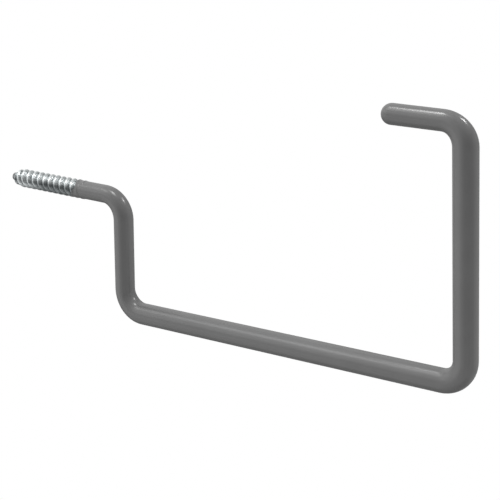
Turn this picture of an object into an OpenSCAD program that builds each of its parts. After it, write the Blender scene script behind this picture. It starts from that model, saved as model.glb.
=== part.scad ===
// Screw-in storage hook: a bent steel rod with a wood-screw thread, dipped in vinyl.
// The hook lies in the XZ plane. The origin is where the thread's axis meets the wall,
// +X runs out of the wall and +Z is up.

/* [Rod] */
// Diameter of the steel rod
rod_d = 8; // [7.4:0.1:8.6]
// Centreline radius of the two bends near the wall
wall_bend_r = 11.5; // [9:0.5:16]
// Centreline radius of the two bends at the outer end
outer_bend_r = 10.5; // [9:0.5:16]

/* [Hook] */
// From the wall to the corner where the rod turns down
leg_len = 32.5; // [28:0.5:45]
// Corner to corner, down from the thread's axis to the arm
drop_len = 58.5; // [40:0.5:80]
// Corner to corner along the arm
arm_len = 185; // [120:1:240]
// Corner to corner up the outer end
upright_len = 109.5; // [60:0.5:140]
// From the last corner to the middle of the round tip
tip_len = 32.5; // [20:0.5:60]
// Angle that the arm rises by on its way out
arm_rise = 2; // [0:0.5:6]
// Angle that the upright leans back towards the wall by
upright_lean = 4; // [0:0.5:8]
// Angle that the tip rises by on its way back
tip_rise = 0; // [-4:0.5:6]

/* [Thread] */
// Length of bare thread, which goes into the wall
thread_len = 42; // [30:0.5:60]
// Diameter over the crests
thread_d = 9.5; // [9.1:0.1:10]
// Diameter at the root
root_d = 6.8; // [6:0.1:7.1]
// Distance between neighbouring crests
pitch = 3.75; // [3:0.05:4.5]
// Number of ridges that wind side by side
starts = 2; // [1:1:3]
// Length that the thread tapers over behind its blunt end
point_len = 8; // [6:0.5:12]
// Diameter of the blunt end
point_d = 3.7; // [3:0.1:5]
// Length of the bare stub ahead of the first crest
stub_len = 2.2; // [1:0.1:4]
// Diameter over the first crest
first_crest_d = 7.4; // [6.6:0.1:8.6]
// Crests that carry on under the coat before they fade
covered_crests = 2; // [1:0.25:3]
// Turn of the whole thread about its axis
thread_turn = 140; // [0:5:355]

/* [Coat] */
// Thickness on the leg
leg_coat = 0.5; // [0.4:0.05:1]
// Thickness on the drop
drop_coat = 0.9; // [0.4:0.05:1.5]
// Thickness on the arm
arm_coat = 1.35; // [0.4:0.05:1.8]
// Thickness on the upright
upright_coat = 1.35; // [0.4:0.05:1.8]
// Thickness on the tip
tip_coat = 0.5; // [0.4:0.05:1]
// Thickness over the covered crests
crest_film = 0.12; // [0.1:0.01:0.2]
// How much further the coat reaches along the rod's underside
lip_slant = 1.6; // [0:0.1:2.5]

/* [Hidden] */

rod_r = rod_d / 2;
crest_r = thread_d / 2;
first_crest_r = first_crest_d / 2;
root_r = root_d / 2;
point_r = point_d / 2;
// How much a bend draws the rod's radius down, and the angle it laps into each run by
bend_draw = 0.01;
bend_lap = 0.25;

function ramp(x, x0, x1) = max(0, min(1, (x - x0) / (x1 - x0)));
function ease(t) = t * t * (3 - 2 * t);

// The rod's five straight runs, from the wall to the tip, and the four bends between them.
// A heading is an angle from +X towards +Z.
headings = [0, -90, arm_rise, 90 + upright_lean, 180 - tip_rise];
lengths = [leg_len, drop_len, arm_len, upright_len, tip_len];
bend_radii = [wall_bend_r, wall_bend_r, outer_bend_r, outer_bend_r];
coats = [leg_coat, drop_coat, arm_coat, upright_coat, tip_coat];
last_run = len(lengths) - 1;

function along(heading) = [cos(heading), 0, sin(heading)];
function left_of(heading) = [-sin(heading), 0, cos(heading)];
function turn_at(i) = headings[i + 1] - headings[i];
function corner(i) = i == 0 ? [0, 0, 0] : corner(i - 1) + lengths[i - 1] * along(headings[i - 1]);

// What a bend takes off the straight runs on each side of its corner
function setback(i) = i < 0 || i == last_run ? 0 : bend_radii[i] * tan(abs(turn_at(i)) / 2);
function run_start(i) = corner(i) + setback(i - 1) * along(headings[i]);
function run_end(i) = corner(i + 1) - setback(i) * along(headings[i]);
function run_len(i) = norm(run_end(i) - run_start(i));
function to_centre(i) = sign(turn_at(i)) * bend_radii[i] * left_of(headings[i]);
function bend_centre(i) = run_end(i) + to_centre(i);

// A point of bend i, at t from 0 to 1 along it
function bend_point(i, t) =
    bend_centre(i) - sign(turn_at(i)) * bend_radii[i] * left_of(headings[i] + t * turn_at(i));

// Thread. Its surface is a strip that winds round the axis and is as wide as one turn's
// advance, so each crest is one smooth helix. One ridge of it is given as places across the
// pitch, each with its share of the depth.
ridge = [[0.08, 0], [0.32, 0.66], [0.5, 1], [0.68, 0.66], [0.92, 0]];
crest_place = ridge[2][0];
strip = [for (start = [0 : starts - 1], p = ridge) [(start + p[0]) * pitch, p[1]]];
rows = len(strip);
lead = starts * pitch;
turn_steps = 24;
// Length that the first crest rises to its height over
crest_rise = 1.4;
threaded_len = thread_len + covered_crests * pitch;
fade_end = threaded_len + pitch;
// The strip ends inside the rod, one turn after the crests have faded
thread_steps = ceil((fade_end / lead + 1) * turn_steps);

// s is the distance from the blunt end
function root_at(s) = point_r + (root_r - point_r) * ramp(s, 0, point_len);
function crest_at(s) = first_crest_r + (crest_r - first_crest_r) * ramp(s, stub_len, point_len);
function rise_at(s) = ease(ramp(s, stub_len, stub_len + crest_rise));
function fade_at(s) = ease(ramp(s, threaded_len, fade_end));
function depth_at(s) = (crest_at(s) - root_at(s)) * rise_at(s) * (1 - fade_at(s));

// In the first turn the rows fan out from one point of the end's edge, so the end is flat
function thread_point(row, step) =
    let(turns = step / turn_steps,
        whole = max(0, turns - 1),
        fan = min(1, turns),
        s = whole * lead + (row == 0 ? 0 : fan * strip[row][0]),
        r = root_at(s) + depth_at(s) * strip[row][1],
        angle = 360 * turns + thread_turn)
    [s - thread_len, r * cos(angle), r * sin(angle)];

first_row_len = thread_steps + turn_steps + 1;
thread_points = [
    for (step = [0 : first_row_len - 1]) thread_point(0, step),
    for (row = [1 : rows - 1], step = [0 : thread_steps]) thread_point(row, step),
    [lead * thread_steps / turn_steps - thread_len, 0, 0]
];

function thread_index(row, step) =
    row == rows ? thread_index(0, step + turn_steps)
    : step == 0 || (row == 0 && step == turn_steps) ? 0
    : row == 0 ? step
    : first_row_len + (row - 1) * (thread_steps + 1) + step;

thread_faces = [
    [for (step = [0 : turn_steps - 1]) thread_index(0, step)],
    for (row = [0 : rows - 1], step = [0 : thread_steps - 1])
        let(here = thread_index(row, step), beside = thread_index(row + 1, step),
            ahead = thread_index(row, step + 1), across = thread_index(row + 1, step + 1))
        each step == 0 ? [[here, across, ahead]] : [[here, beside, across], [here, across, ahead]],
    for (step = [thread_steps : thread_steps + turn_steps - 1])
        [len(thread_points) - 1, thread_index(0, step + 1), thread_index(0, step)],
    for (row = [0 : rows - 1])
        [len(thread_points) - 1, thread_index(row, thread_steps), thread_index(row + 1, thread_steps)]
];

module thread() {
    polyhedron(thread_points, thread_faces, convexity = 20);
}

// The rod's surface rises out of the thread's root as the crests fade
module shank() {
    rise_x = covered_crests * pitch;
    buried_r = root_r - 0.1;
    translate([rise_x, 0, 0])
        rotate([0, 90, 0])
            cylinder(h = pitch, r1 = buried_r, r2 = rod_r);
    translate([rise_x + pitch, 0, 0])
        rotate([0, 90, 0])
            cylinder(h = run_len(0) - rise_x - pitch, r = rod_r);
}

module run(i) {
    translate(run_start(i))
        rotate([0, 90 - headings[i], 0])
            cylinder(h = run_len(i), r = rod_r);
}

// A bend is a hair slimmer than the runs and laps into each of them
module bend(i) {
    turn = turn_at(i);
    from = turn > 0 ? headings[i] - 90 : headings[i] + 90 + turn;
    translate(bend_centre(i))
        rotate([90, 0, 0])
            rotate_extrude(angle = abs(turn) + 2 * bend_lap, start = from - bend_lap)
                translate([bend_radii[i], 0])
                    circle(r = rod_r - bend_draw);
}

module rod_solid() {
    thread();
    shank();
    for (i = [1 : last_run]) run(i);
    for (i = [0 : last_run - 1]) bend(i);
    translate(run_end(last_run)) sphere(r = rod_r);
}

module steel_rod() {
    color("silver") rod_solid();
}

// Coat. Its outside is a tube of rings. A ring is its centre, heading, radius and place
// along the leg, which is below zero past the covered thread.
sides = 32;
bend_steps = 10;
dome_steps = 5;
// Rings of the coat over each covered crest
crest_rings = 6;
lip_steps = ceil((covered_crests + 1) * crest_rings);
covered_len = fade_end - thread_len;

function coated_r(i) = rod_r + coats[i];
function ring(centre, heading, r, leg_x = -1) = [centre, heading, r, leg_x];

// The covered crests push through the coat as a low helical swell
function swell(leg_x, angle) =
    let(s = leg_x + thread_len,
        proud = root_at(s) + depth_at(s) + crest_film - coated_r(0),
        phase = 360 * (s / pitch - crest_place) - starts * (90 - angle - thread_turn))
    max(0, proud) * (1 + cos(phase)) / 2;

rings = [
    for (k = [0 : lip_steps])
        let(x = k / lip_steps * covered_len)
        ring([x, 0, 0], 0, coated_r(0), x),
    for (i = [0 : last_run - 1], k = [0 : bend_steps])
        let(t = k / bend_steps)
        ring(bend_point(i, t), headings[i] + t * turn_at(i),
             coated_r(i) + ease(t) * (coated_r(i + 1) - coated_r(i))),
    for (k = [0 : dome_steps])
        let(b = 90 * k / (dome_steps + 1))
        ring(run_end(last_run) + coated_r(last_run) * sin(b) * along(headings[last_run]),
             headings[last_run], coated_r(last_run) * cos(b))
];

function ring_point(g, j) =
    let(angle = 360 * j / sides,
        covered = g[3] >= 0,
        slant = covered ? lip_slant * (1 + cos(angle)) / 2 * (1 - g[3] / covered_len) : 0,
        r = g[2] + (covered ? swell(g[3] + slant, angle) : 0))
    g[0] + r * cos(angle) * left_of(g[1]) + r * sin(angle) * [0, 1, 0] + slant * along(g[1]);

lip_centre = [lip_slant / 2, 0, 0];
dome_top = run_end(last_run) + coated_r(last_run) * along(headings[last_run]);
coat_points = [for (g = rings, j = [0 : sides - 1]) ring_point(g, j), lip_centre, dome_top];

function coat_index(i, j) = i * sides + j % sides;

coat_faces = [
    for (i = [0 : len(rings) - 2], j = [0 : sides - 1])
        each [[coat_index(i, j), coat_index(i, j + 1), coat_index(i + 1, j + 1)],
              [coat_index(i, j), coat_index(i + 1, j + 1), coat_index(i + 1, j)]],
    for (j = [0 : sides - 1])
        each [[len(coat_points) - 2, coat_index(0, j + 1), coat_index(0, j)],
              [len(coat_points) - 1, coat_index(len(rings) - 1, j), coat_index(len(rings) - 1, j + 1)]]
];

module vinyl_coat() {
    color("dimgray")
        difference() {
            polyhedron(coat_points, coat_faces, convexity = 10);
            rod_solid();
        }
}

$fn = 64;
steel_rod();
vinyl_coat();
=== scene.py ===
import bpy
import math
import numpy as np
from mathutils import Matrix, Vector


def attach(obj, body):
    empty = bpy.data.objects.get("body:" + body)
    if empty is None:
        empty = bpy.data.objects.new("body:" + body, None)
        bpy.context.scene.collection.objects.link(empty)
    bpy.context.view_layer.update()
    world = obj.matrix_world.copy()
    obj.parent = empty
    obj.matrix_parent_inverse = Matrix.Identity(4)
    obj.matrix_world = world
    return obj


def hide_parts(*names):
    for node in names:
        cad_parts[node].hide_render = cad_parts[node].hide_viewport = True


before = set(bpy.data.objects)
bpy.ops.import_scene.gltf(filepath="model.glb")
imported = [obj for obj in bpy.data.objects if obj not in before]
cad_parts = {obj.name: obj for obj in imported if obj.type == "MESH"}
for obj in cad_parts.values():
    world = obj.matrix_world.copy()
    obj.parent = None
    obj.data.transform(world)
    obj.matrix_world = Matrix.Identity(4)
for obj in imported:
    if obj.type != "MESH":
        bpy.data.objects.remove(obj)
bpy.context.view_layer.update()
mm = 0.001
fullTurn = 2 * math.pi
print("frame loaded:", ", ".join(sorted(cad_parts)))

# The bent line that both pieces follow, in millimetres and degrees.
# A heading is an angle from +X towards +Z.
hook = {
    "lengths": [32.5, 58.5, 185.0, 109.5, 32.5],  # corner to corner, the last one to the middle of the tip
    "headings": [0.0, -90.0, 2.0, 94.0, 180.0],
    "bendRadii": [11.5, 11.5, 10.5, 10.5],
    "rodRadius": 4.0,
    "sides": 96,  # points in a ring
}


def alongHeading(degrees):
    a = np.radians(degrees)
    return np.stack([np.cos(a), 0 * a, np.sin(a)], -1)


def leftOf(degrees):
    return alongHeading(np.asarray(degrees) + 90)


def ease(t):
    return t * t * (3 - 2 * t)


def ramp(x, start, end):
    return np.clip((x - start) / (end - start), 0, 1)


def spaced(start, end, step):
    return np.linspace(start, end, max(2, int(math.ceil((end - start) / step)) + 1))


# Centre, heading and run number at each distance from the wall, and the length of the whole line.
# Distances below 0 are inside the wall, and the run number slides to the next whole number in a bend.
def bentLine(place):
    place = np.asarray(place, float)
    centre = np.zeros(place.shape + (3,))
    heading = np.zeros(place.shape)
    run = np.zeros(place.shape)
    start, point, before = 0.0, np.zeros(3), 0.0
    last = len(hook["lengths"]) - 1
    for i in range(last + 1):
        head = hook["headings"][i]
        turn = hook["headings"][i + 1] - head if i < last else 0.0
        radius = hook["bendRadii"][i] if i < last else 0.0
        after = radius * math.tan(math.radians(abs(turn)) / 2)
        straight = hook["lengths"][i] - before - after
        on = place >= start if i else np.ones(place.shape, bool)
        centre[on] = point + (place[on] - start)[:, None] * alongHeading(head)
        heading[on], run[on] = head, i
        start += straight
        point = point + straight * alongHeading(head)
        before = after
        if i == last:
            break
        side = math.copysign(1, turn)
        middle = point + side * radius * leftOf(head)
        arc = radius * math.radians(abs(turn))
        on = place >= start
        t = np.clip((place[on] - start) / arc, 0, 1)
        centre[on] = middle - side * radius * leftOf(head + t * turn)
        heading[on], run[on] = head + t * turn, i + ease(t)
        start += arc
        point = middle - side * radius * leftOf(head + turn)
    return centre, heading, run, start


lineEnd = bentLine([0.0])[3]
sideAngle = np.arange(hook["sides"]) * fullTurn / hook["sides"]  # from the left of the heading towards +Y


# Rings of points round the bent line: radius is one number a ring or one a point, and so is shift,
# which slides a point along the line.
def rings(place, radius, shift=0.0):
    centre, heading = bentLine(place)[:2]
    flat = np.ones((len(place), hook["sides"]))
    radius = np.reshape(radius, (len(place), -1)) * flat
    shift = np.reshape(shift, (-1, 1)) * flat if np.ndim(shift) < 2 else shift
    out = np.cos(sideAngle)[None, :, None] * leftOf(heading)[:, None, :]
    out = out + np.sin(sideAngle)[None, :, None] * np.array([0.0, 1.0, 0.0])
    slide = shift[..., None] * alongHeading(heading)[:, None, :]
    return centre[:, None, :] + radius[..., None] * out + slide


# Rings round the end of the line that close it with a half ball
def roundEnd(radius, steps):
    lift = np.arange(1, steps) / steps * math.pi / 2
    return rings(np.full(len(lift), lineEnd), radius * np.cos(lift), radius * np.sin(lift))


# One closed skin over rows of rings, with a fan over the first and the last
def skin(name, rows):
    grid = np.concatenate(rows)
    n, m = grid.shape[:2]
    verts = np.concatenate([grid.reshape(-1, 3), [grid[0].mean(0), grid[-1].mean(0)]]) * mm
    i, j = np.meshgrid(np.arange(n - 1), np.arange(m), indexing="ij")
    k = (j + 1) % m
    quads = np.stack([i * m + j, (i + 1) * m + j, (i + 1) * m + k, i * m + k], -1).reshape(-1, 4)
    j, k = j[0], k[0]
    startFan = np.stack([np.full(m, n * m), j, k], -1)
    endFan = np.stack([np.full(m, n * m + 1), (n - 1) * m + k, (n - 1) * m + j], -1)
    mesh = bpy.data.meshes.new(name)
    mesh.from_pydata(verts.tolist(), [], quads.tolist() + startFan.tolist() + endFan.tolist())
    mesh.validate()
    piece = bpy.data.objects.new(name, mesh)
    bpy.context.scene.collection.objects.link(piece)
    mesh.shade_smooth()
    return piece


fieldShortening = 0.7  # each wave of an uneven field is shorter than the one before by this
fieldTurns = 4  # and goes round the rod fewer times than this


# A smooth seeded field from 0 to 1 over the line and round it, for small unevenness
def unevenness(field, place, angle):
    draw = np.random.default_rng(field["seed"])
    total = np.zeros(np.broadcast(place, angle).shape)
    for k in range(field["waves"]):
        length = field["longest"] / (1 + fieldShortening * k)
        turns = draw.integers(0, fieldTurns)
        offset = draw.uniform(0, fullTurn)
        total = total + np.cos(fullTurn * place / length + turns * angle + offset)
    return 0.5 + 0.5 * total / field["waves"]


# Rod and thread, in millimetres and turns. The sizes are the solid's, but the crests are rounder and uneven.
thread = {
    "length": 42.0,
    "crestRadius": 4.75,
    "rootRadius": 3.4,
    "pitch": 3.75,  # between neighbouring crests
    "starts": 2,
    "pointLength": 8.0,
    "pointRadius": 1.85,
    "stubLength": 2.2,  # before the first crest
    "firstCrestRadius": 3.7,
    "crestRise": 1.4,
    "coveredCrests": 2.0,
    "startTurn": 140.0 / 360.0,
    "leastTurn": 0.001,  # keeps a division off zero
    "ridgePower": 0.6,  # below 1 the crest is wider than the groove
    "chamfer": 0.35,
    "worn": {"depth": 0.06, "seed": 5, "waves": 9, "longest": 17.0},  # depth as a share of the ridge's
    "rowsPerCrest": 24,
    "plainStep": 1.6,  # between rows where the rod is plain
    "endSteps": 12,
    "sharpAngle": 50.0,
}
lead = thread["starts"] * thread["pitch"]
wallDepth = thread["length"]
threadedEnd = wallDepth + thread["coveredCrests"] * thread["pitch"]  # from the cut end, and so is fadeEnd
fadeEnd = threadedEnd + thread["pitch"]
coveredLength = fadeEnd - wallDepth


# Turns from the thread's start. Angles run from +Z towards +Y, and the thread's turns from +Y towards +Z.
def threadTurn(angle):
    return 0.25 - angle / fullTurn - thread["startTurn"]


# Radius of the thread's surface at a distance from the wall, along the leg, and an angle round it
def threadRadius(place, angle):
    s = place + wallDepth
    stub, point = thread["stubLength"], thread["pointLength"]
    rootGrowth = thread["rootRadius"] - thread["pointRadius"]
    crestGrowth = thread["crestRadius"] - thread["firstCrestRadius"]
    root = thread["pointRadius"] + rootGrowth * ramp(s, 0, point)
    crest = thread["firstCrestRadius"] + crestGrowth * ramp(s, stub, point)
    rise = ease(ramp(s, stub, stub + thread["crestRise"]))
    depth = (crest - root) * rise * (1 - ease(ramp(s, threadedEnd, fadeEnd)))
    turn = np.mod(threadTurn(angle), 1)
    along = s / lead - turn
    inLead = np.where(along < 0, s / (lead * np.maximum(turn, thread["leastTurn"])), np.mod(along, 1))
    ridge = (0.5 - 0.5 * np.cos(fullTurn * thread["starts"] * inLead)) ** thread["ridgePower"]
    worn = 1 - thread["worn"]["depth"] * unevenness(thread["worn"], place, angle)
    return root + depth * ridge * worn


# The bare rod rises out of the thread's root as the crests fade
def rodSurface(place, angle):
    riseStart = threadedEnd - wallDepth
    growth = hook["rodRadius"] - thread["rootRadius"]
    plain = thread["rootRadius"] + growth * ramp(place, riseStart, coveredLength)
    plain = np.where(place < riseStart, 0, plain)
    threaded = np.where(place < coveredLength, threadRadius(place, angle), 0)
    return np.maximum(plain, threaded)


rowStep = thread["pitch"] / thread["rowsPerCrest"]
threadPlaces = spaced(thread["chamfer"] - wallDepth, coveredLength, rowStep)
plainPlaces = spaced(coveredLength, lineEnd, thread["plainStep"])[1:]
faceRadius = thread["pointRadius"] - thread["chamfer"]
rod = skin("steelRod", [
    rings([-wallDepth], [0.5 * faceRadius]),
    rings([-wallDepth], [faceRadius]),
    rings(threadPlaces, rodSurface(threadPlaces[:, None], sideAngle)),
    rings(plainPlaces, np.full(len(plainPlaces), hook["rodRadius"])),
    roundEnd(hook["rodRadius"], thread["endSteps"]),
])
rod.data.set_sharp_from_angle(angle=math.radians(thread["sharpAngle"]))
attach(rod, "root")
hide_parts("steel_rod")
print("steel rod:", len(rod.data.polygons), "faces")

# Dipped coat, in millimetres
coat = {
    "thickness": [0.5, 0.9, 1.35, 1.35, 0.5],  # on each run
    "crestFilm": 0.1,
    "grooveFilm": 0.45,
    "fillLength": 3.4,  # over which the coat fills the grooves
    "edge": 1.45,  # mean place of its edge
    "edgeWaves": [(1, 1.8, -37), (2, 0.6, -55), (3, 0.12, 54)],  # waves round it, size, where they peak
    "edgeRagged": {"depth": 0.25, "seed": 23, "waves": 6, "longest": 10.0},
    "edgeRound": 0.5,
    "swellTop": 0.75,  # share of the crests that shows through above, and below
    "swellBottom": 0.25,
    "swellFade": (4, 9),  # where the swell starts to fade, and where it has gone
    "boreGap": 0.004,
    "skinIn": 0.006,  # keeps the skin within the solid's box
    "uneven": {"depth": 0.03, "seed": 11, "waves": 12, "longest": 45.0},
    "settleLength": 8,  # over which the outside becomes even before the round tip
    "lipSteps": [0, 0.02, 0.06, 0.12, 0.2, 0.3, 0.42, 0.56, 0.7],
    "swellStep": 0.25,
    "rowStep": 1.1,
    "endSteps": 24,
}
coatRadii = hook["rodRadius"] + np.array(coat["thickness"])


# How far a ring's points slide along the leg, so that the first ring is the coat's wavy edge
def edgeSlide(place, angle):
    edge = coat["edge"] + 0 * angle
    for waves, size, peak in coat["edgeWaves"]:
        edge = edge + size * np.cos(waves * (angle - math.radians(peak)))
    ragged = unevenness(coat["edgeRagged"], 0 * place, 2 * angle) - 0.5
    edge = edge + coat["edgeRagged"]["depth"] * ragged
    return np.maximum(edge, 0) * (1 - ramp(place, 0, coveredLength))


# The covered crests push through as a low helical swell, less below, where the coat ran down
def crestSwell(x, angle):
    s = x + wallDepth
    grown = 1 - ease(ramp(s, threadedEnd, fadeEnd))
    crest = thread["rootRadius"] + (thread["crestRadius"] - thread["rootRadius"]) * grown
    proud = np.maximum(0, crest + coat["crestFilm"] - coatRadii[0])
    shown = coat["swellBottom"] + (coat["swellTop"] - coat["swellBottom"]) * (1 + np.cos(angle)) / 2
    crestsPassed = s / thread["pitch"] - thread["starts"] * threadTurn(angle)
    wave = (1 + np.cos(fullTurn * (crestsPassed - 0.5))) / 2
    return proud * shown * (1 - ramp(x, *coat["swellFade"])) * wave


# Radius of the coat's outside, which starts on the rod at its edge and rises to the full thickness
def coatSurface(place, angle):
    x = place + edgeSlide(place, angle)
    full = np.interp(bentLine(place[:, 0])[2], range(len(coatRadii)), coatRadii)[:, None]
    swell = np.where(place < coveredLength, crestSwell(x, angle), 0)
    dips = coat["uneven"]["depth"] * unevenness(coat["uneven"], place, angle)
    bare = rodSurface(x, angle)
    film = np.maximum(bare + coat["crestFilm"], thread["rootRadius"] + coat["grooveFilm"])
    filled = ease(ramp(place, 0, coat["fillLength"]))
    outside = film + (full + swell - coat["skinIn"] - dips - film) * filled
    inside = bare + coat["boreGap"]
    share = np.sqrt(1 - (1 - ramp(place, 0, coat["edgeRound"])) ** 2)
    return inside + (outside - inside) * share


swellPlaces = spaced(coat["lipSteps"][-1], coveredLength, coat["swellStep"])[1:]
restPlaces = spaced(coveredLength, lineEnd, coat["rowStep"])[1:]
outerPlaces = np.concatenate([coat["lipSteps"], swellPlaces, restPlaces])
borePlaces = np.concatenate([spaced(0, coveredLength, rowStep)[1:], plainPlaces])[::-1]
outerX = edgeSlide(outerPlaces[:, None], sideAngle)
boreX = edgeSlide(borePlaces[:, None], sideAngle)
boreRadius = rodSurface(borePlaces[:, None] + boreX, sideAngle) + coat["boreGap"]
outerRadius = coatSurface(outerPlaces[:, None], sideAngle)
tipRadius = coatRadii[-1] - coat["skinIn"] - 0.5 * coat["uneven"]["depth"]
settle = ease(ramp(outerPlaces, lineEnd - coat["settleLength"], lineEnd))[:, None]
outerRadius = outerRadius + (tipRadius - outerRadius) * settle
vinyl = skin("vinylCoat", [
    roundEnd(hook["rodRadius"] + coat["boreGap"], thread["endSteps"])[::-1],
    rings(borePlaces, boreRadius, boreX),
    rings(outerPlaces, outerRadius, outerX),
    roundEnd(tipRadius, coat["endSteps"]),
])
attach(vinyl, "root")
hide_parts("vinyl_coat")
print("vinyl coat:", len(vinyl.data.polygons), "faces")


# A socket that takes part in sums: each operation adds a Math node
class Amount:
    def __init__(self, bench, socket):
        self.bench, self.socket = bench, socket

    def worked(self, operation, first, second):
        made = self.bench.node("ShaderNodeMath", {"operation": operation}, {0: first, 1: second})
        return Amount(self.bench, made.outputs[0])

    def __add__(self, other):
        return self.worked("ADD", self, other)

    __radd__ = __add__

    def __sub__(self, other):
        return self.worked("SUBTRACT", self, other)

    def __rsub__(self, other):
        return self.worked("SUBTRACT", other, self)

    def __mul__(self, other):
        return self.worked("MULTIPLY", self, other)

    __rmul__ = __mul__


# A node tree being filled
class Bench:
    def __init__(self, tree):
        self.tree = tree
        tree.nodes.clear()

    # Any node: its type, then its settings, then the values or links of its sockets
    def node(self, kind, settings=None, sockets=None):
        made = self.tree.nodes.new(kind)
        for key, value in (settings or {}).items():
            setattr(made, key, value)
        for key, value in (sockets or {}).items():
            link = value.socket if isinstance(value, Amount) else value
            if isinstance(link, bpy.types.NodeSocket):
                self.tree.links.new(link, made.inputs[key])
            else:
                made.inputs[key].default_value = link
        return made

    def amount(self, socket):
        return Amount(self, socket)

    def objectPlace(self):
        return self.node("ShaderNodeTexCoord").outputs["Object"]

    # Noise from 0 to 1 whose lumps are about size millimetres across
    def noise(self, place, size, detail, rough=0.5):
        made = self.node("ShaderNodeTexNoise", None, {
            "Vector": place, "Scale": 1 / (size * mm), "Detail": detail, "Roughness": rough})
        return self.amount(made.outputs[0])

    # 0 below low, 1 above high
    def between(self, value, low, high):
        made = self.node("ShaderNodeMapRange", {"interpolation_type": "SMOOTHSTEP"}, {
            "Value": value, "From Min": low, "From Max": high})
        return self.amount(made.outputs[0])

    def colour(self, share, first, second):
        made = self.node("ShaderNodeMix", {"data_type": "RGBA"}, {0: share, 6: first, 7: second})
        return made.outputs[2]

    # Depth is in millimetres, and below is a bump that this one lies on
    def bump(self, height, depth, strength, below=None):
        sockets = {"Height": height, "Distance": depth * mm, "Strength": strength}
        if below:
            sockets["Normal"] = below
        return self.node("ShaderNodeBump", None, sockets).outputs[0]


def newMaterial(piece, name):
    material = bpy.data.materials.new(name)
    material.use_nodes = True
    piece.data.materials.append(material)
    return Bench(material.node_tree)


def tone(red, green, blue):
    return (red, green, blue, 1.0)


# Semi-gloss dipped vinyl: faint mottling, slow waves and a fine orange peel.
# A noise is its lump size in millimetres, detail and roughness, and a bump its depth and strength.
def vinylFinish(piece):
    look = {
        "light": tone(0.149, 0.149, 0.149),
        "dark": tone(0.141, 0.141, 0.141),
        "mottle": (14.0, 3.0, 0.6),
        "mottleRange": (0.35, 0.65),
        "rough": 0.25,
        "roughSpread": 0.02,
        "scuff": (3.0, 4.0, 0.65),
        "wave": (7.0, 1.0),
        "waveBump": (0.012, 0.5),
        "peel": (0.9, 2.0),
        "peelBump": (0.0008, 0.3),
        "refraction": 1.5,
    }
    bench = newMaterial(piece, "greyVinyl")
    place = bench.objectPlace()
    mottle = bench.between(bench.noise(place, *look["mottle"]), *look["mottleRange"])
    shade = bench.colour(mottle, look["dark"], look["light"])
    scuff = bench.noise(place, *look["scuff"])
    waves = bench.bump(bench.noise(place, *look["wave"]), *look["waveBump"])
    peel = bench.bump(bench.noise(place, *look["peel"]), *look["peelBump"], waves)
    shader = bench.node("ShaderNodeBsdfPrincipled", None, {
        "Base Color": shade,
        "Roughness": look["rough"] + look["roughSpread"] * (scuff - 0.5),
        "Normal": peel,
        "IOR": look["refraction"],
    })
    bench.node("ShaderNodeOutputMaterial", None, {"Surface": shader.outputs[0]})


# Bright zinc on a rolled thread: shiny crests, rougher grooves painted dark as shade, painted shade below
# the axis towards the coat, and bare, less shiny steel at the cut end.
# Places are in millimetres, from the low end of a change to the high one.
def zincFinish(piece):
    look = {
        "crest": tone(0.86, 0.9, 0.905),
        # The groove tone is painted shade in the thread's hollows
        "groove": tone(0.09, 0.105, 0.11),
        "stain": tone(0.16, 0.16, 0.165),
        "grooveToCrest": (3.55, 4.45),  # from the thread's axis
        "patch": (1.5, 4.0, 0.6),
        "patchRange": (0.38, 0.62),
        "grain": (1.1, 3.0, 0.6),
        "grainRange": (0.42, 0.58),
        # how much lighter the crests are than the painted groove shade
        "grooveShadeShare": 0.5,
        "patchShare": 0.25,
        "grainShare": 0.3,
        "paintedShadeAlong": (-34.0, -16.0),  # painted shade, stronger towards the coat
        "paintedShadeBelow": (-2.8, 0.2),  # painted shade only below the axis
        "paintedShadeWander": 3.0,
        "paintedShadeShare": 0.75,
        "cutEnd": (39.6, 41.2),  # into the wall
        "cutWander": 1.2,
        "cutShare": 0.85,
        "metallic": 0.8,
        "cutMetallic": 0.4,  # less of it at the cut end
        "rough": 0.19,
        "grooveRough": 0.22,  # more of it in the grooves, over the patches and at the cut end
        "patchRough": 0.16,
        "cutRough": 0.25,
        "grainBump": (0.2, 0.8),
    }
    bench = newMaterial(piece, "brightZinc")
    place = bench.objectPlace()

    def change(value, ends):
        return bench.between(value, ends[0] * mm, ends[1] * mm)

    across = bench.node("ShaderNodeVectorMath", {"operation": "MULTIPLY"}, {0: place, 1: (0, 1, 1)})
    fromAxis = bench.node("ShaderNodeVectorMath", {"operation": "LENGTH"}, {0: across.outputs[0]})
    crest = change(fromAxis.outputs["Value"], look["grooveToCrest"])
    patch = bench.noise(place, *look["patch"])
    grain = bench.noise(place, *look["grain"])
    parts = bench.node("ShaderNodeSeparateXYZ", None, {0: place})
    along, up = bench.amount(parts.outputs[0]), bench.amount(parts.outputs[2])
    # Painted shade on the lower half of the thread, stronger towards the coat, with a wandering edge
    low = change(up * -1 + look["paintedShadeWander"] * mm * (patch - 0.5), look["paintedShadeBelow"])
    paintedShade = change(along, look["paintedShadeAlong"]) * low
    # Crests against painted groove shade, plus patches and grain as random tone
    grooveShadeAndTone = crest * look["grooveShadeShare"]
    grooveShadeAndTone = grooveShadeAndTone + bench.between(patch, *look["patchRange"]) * look["patchShare"]
    grooveShadeAndTone = grooveShadeAndTone + bench.between(grain, *look["grainRange"]) * look["grainShare"]
    # The metal colour holds painted shade: dark in the grooves and darker again below the axis towards the
    # coat
    metal = bench.colour(grooveShadeAndTone * (1 - paintedShade * look["paintedShadeShare"]), look["groove"], look["crest"])
    cut = change(along * -1 + look["cutWander"] * mm * (patch - 0.5), look["cutEnd"])
    rough = look["rough"] + look["grooveRough"] * (1 - crest) + look["patchRough"] * (patch - 0.5)
    shader = bench.node("ShaderNodeBsdfPrincipled", None, {
        "Base Color": bench.colour(cut * look["cutShare"], metal, look["stain"]),
        "Metallic": look["metallic"] - cut * look["cutMetallic"],
        "Roughness": rough + cut * look["cutRough"],
        "Normal": bench.bump(grain, *look["grainBump"]),
    })
    bench.node("ShaderNodeOutputMaterial", None, {"Surface": shader.outputs[0]})


vinylFinish(vinyl)
zincFinish(rod)
print("finishes done")

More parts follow.
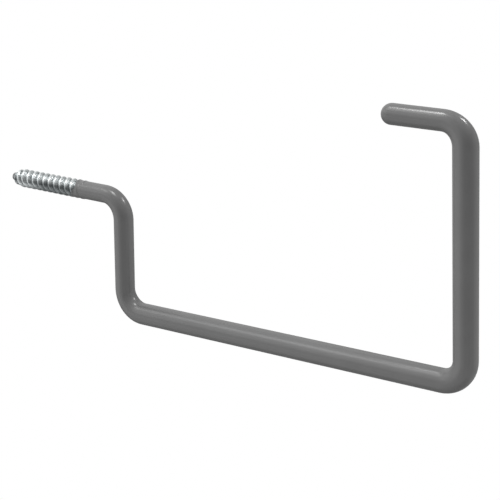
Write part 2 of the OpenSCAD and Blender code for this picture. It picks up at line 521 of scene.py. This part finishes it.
# Camera, in millimetres and degrees
view = {
    "place": (391.48, -411.75, 139.87),
    "target": (108.11, 0.0, -13.15),
    "roll": 0.578,
    "lens": 82.47,
    "sensor": 36.0,
    "clip": (10.0, 60000.0),
}
cameraData = bpy.data.cameras.new("camera")
cameraData.sensor_width = view["sensor"]
cameraData.lens = view["lens"]
cameraData.clip_start, cameraData.clip_end = view["clip"][0] * mm, view["clip"][1] * mm
camera = bpy.data.objects.new("camera", cameraData)
sight = (Vector(view["target"]) - Vector(view["place"])).normalized()
turned = sight.to_track_quat("-Z", "Y").to_matrix() @ Matrix.Rotation(math.radians(view["roll"]), 3, "Z")
camera.matrix_world = Matrix.Translation(Vector(view["place"]) * mm) @ turned.to_4x4()
bpy.context.scene.collection.objects.link(camera)
bpy.context.scene.camera = camera
bpy.context.scene.view_settings.view_transform = "Standard"

# Plain white floor well below the hook, which the wall holds, in metres
ground = {"side": 60.0, "drop": 0.6}
half, drop = ground["side"] / 2, ground["drop"]
corners = [(-half, -half, -drop), (half, -half, -drop), (half, half, -drop), (-half, half, -drop)]
floorMesh = bpy.data.meshes.new("floor")
floorMesh.from_pydata(corners, [], [(0, 1, 2, 3)])
floor = bpy.data.objects.new("floor", floorMesh)
bpy.context.scene.collection.objects.link(floor)
floorBench = newMaterial(floor, "whiteFloor")
glow = floorBench.node("ShaderNodeEmission", None, {"Color": tone(1, 1, 1), "Strength": 1.0})
floorBench.node("ShaderNodeOutputMaterial", None, {"Surface": glow.outputs[0]})
floor.visible_diffuse = floor.visible_glossy = floor.visible_shadow = False


# Unit direction at a bearing from -Y towards +X and a height above level, in degrees
def towards(bearing, height):
    b, h = math.radians(bearing), math.radians(height)
    return Vector((math.sin(b) * math.cos(h), -math.cos(b) * math.cos(h), math.sin(h)))


# Light of the room as soft round patches, in rings at each height, and one brighter patch as the key.
# A ring's strengths go round in even steps from its first bearing.
room = {
    "key": {"bearing": -52, "height": 52, "spread": 14, "strength": 2.7},
    "spread": 36.0,
    "rings": [
        {"height": -60, "first": 0, "strengths": [0.38, 0.14, 0.21, 0.12, 0.08, 0.19]},
        {"height": -30, "first": 18, "strengths": [
            0.4, 0.49, 0.45, 0.43, 0.26, 0.14, 0.12, 0.07, 0.65, 0.43]},
        {"height": 0, "first": 0, "strengths": [
            0, 0.02, 0.1, 0.28, 0.44, 0.26, 0.14, 0.1, 0.34, 0.36, 0.37, 0.44]},
        {"height": 30, "first": 18, "strengths": [
            0.12, 0.16, 0.21, 0.38, 0.21, 0.27, 0.49, 0.48, 1.06, 0.57]},
        {"height": 60, "first": 0, "strengths": [0.33, 0.33, 0.31, 0.15, 0.45, 0.57]},
        {"height": 90, "first": 0, "strengths": [0.34]},
    ],
}
world = bpy.data.worlds.new("room")
world.use_nodes = True
bpy.context.scene.world = world
sky = Bench(world.node_tree)
outward = sky.node("ShaderNodeTexCoord").outputs["Generated"]


# Soft round patch of light, full in its middle and nothing at its spread
def softPatch(bearing, height, spread, strength):
    facing = sky.node("ShaderNodeVectorMath", {"operation": "DOT_PRODUCT"}, {
        0: outward, 1: towards(bearing, height)})
    return strength * sky.between(facing.outputs["Value"], math.cos(math.radians(spread)), 1.0)


light = softPatch(**room["key"])
for ring in room["rings"]:
    for k, strength in enumerate(ring["strengths"]):
        if strength:
            bearing = ring["first"] + 360 * k / len(ring["strengths"])
            light = light + softPatch(bearing, ring["height"], room["spread"], strength)
lit = sky.node("ShaderNodeBackground", None, {"Color": light, "Strength": 1.0})
white = sky.node("ShaderNodeBackground", None, {"Color": tone(1, 1, 1), "Strength": 1.0})
seen = sky.node("ShaderNodeLightPath").outputs["Is Camera Ray"]
both = sky.node("ShaderNodeMixShader", None, {0: seen, 1: lit.outputs[0], 2: white.outputs[0]})
sky.node("ShaderNodeOutputWorld", None, {"Surface": both.outputs[0]})

# Round lamps aimed at a point on the hook: reach is in metres, spread is the half angle that the lamp
# fills as seen from there, and power is in watts.
lamps = {
    "glintLeg": {"bearing": -48.4, "height": 77, "reach": 0.539, "spread": 6, "power": 0.7},
    "glintTip": {"bearing": 136.9, "height": 51.5, "reach": 0.671, "spread": 4.5, "power": 1.15},
}
lampAim = Vector((0.1, 0, 0))
for name, lamp in lamps.items():
    away = towards(lamp["bearing"], lamp["height"])
    data = bpy.data.lights.new(name, "AREA")
    data.shape = "DISK"
    data.size = 2 * lamp["reach"] * math.tan(math.radians(lamp["spread"]))
    data.energy = lamp["power"]
    source = bpy.data.objects.new(name, data)
    source.location = lampAim + lamp["reach"] * away
    source.rotation_mode = "QUATERNION"
    source.rotation_quaternion = away.to_track_quat("Z", "Y")
    source.visible_camera = False
    bpy.context.scene.collection.objects.link(source)
print("camera, floor and lamps done")
